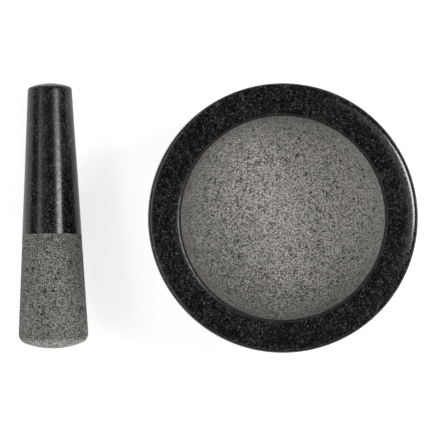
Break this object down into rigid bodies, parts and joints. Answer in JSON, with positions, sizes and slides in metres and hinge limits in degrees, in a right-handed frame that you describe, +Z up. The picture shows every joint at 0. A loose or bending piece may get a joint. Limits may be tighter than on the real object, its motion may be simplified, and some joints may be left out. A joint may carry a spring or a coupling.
{
  "type": "mortar and pestle",
  "caption": "Black granite mortar with a broad polished rim and a rough ground bowl, a loose tapered stone pestle lying beside it, and a round foam pad under the base.",
  "frame": {"origin": "middle of the foam pad's underside, on the table, on the mortar's axis", "axes": "+Z up along the mortar's axis; the pestle lies along Y on the -X side of the mortar, with its grinding end towards -Y and its polished handle towards +Y"},
  "size_m": [0.2105, 0.1425, 0.086],
  "materials": {
    "mortar_stone": "black granite, polished outside and on the rim, rough ground and warm grey inside the bowl",
    "pestle_stone": "black granite, polished handle, rough ground and grey on the grinding half",
    "pad_foam": "matt black closed-cell foam with a fine pebbled skin"
  },
  "bodies": {
    "mortar": {"mortar": "mortar_stone", "base_pad": "pad_foam"},
    "pestle": {"pestle": "pestle_stone"}
  },
  "joints": [
    {"name": "pestle_lift", "type": "slide", "parent": "mortar", "child": "pestle", "axis": [0, 0, 1], "range_m": [0, 0.12]}
  ]
}
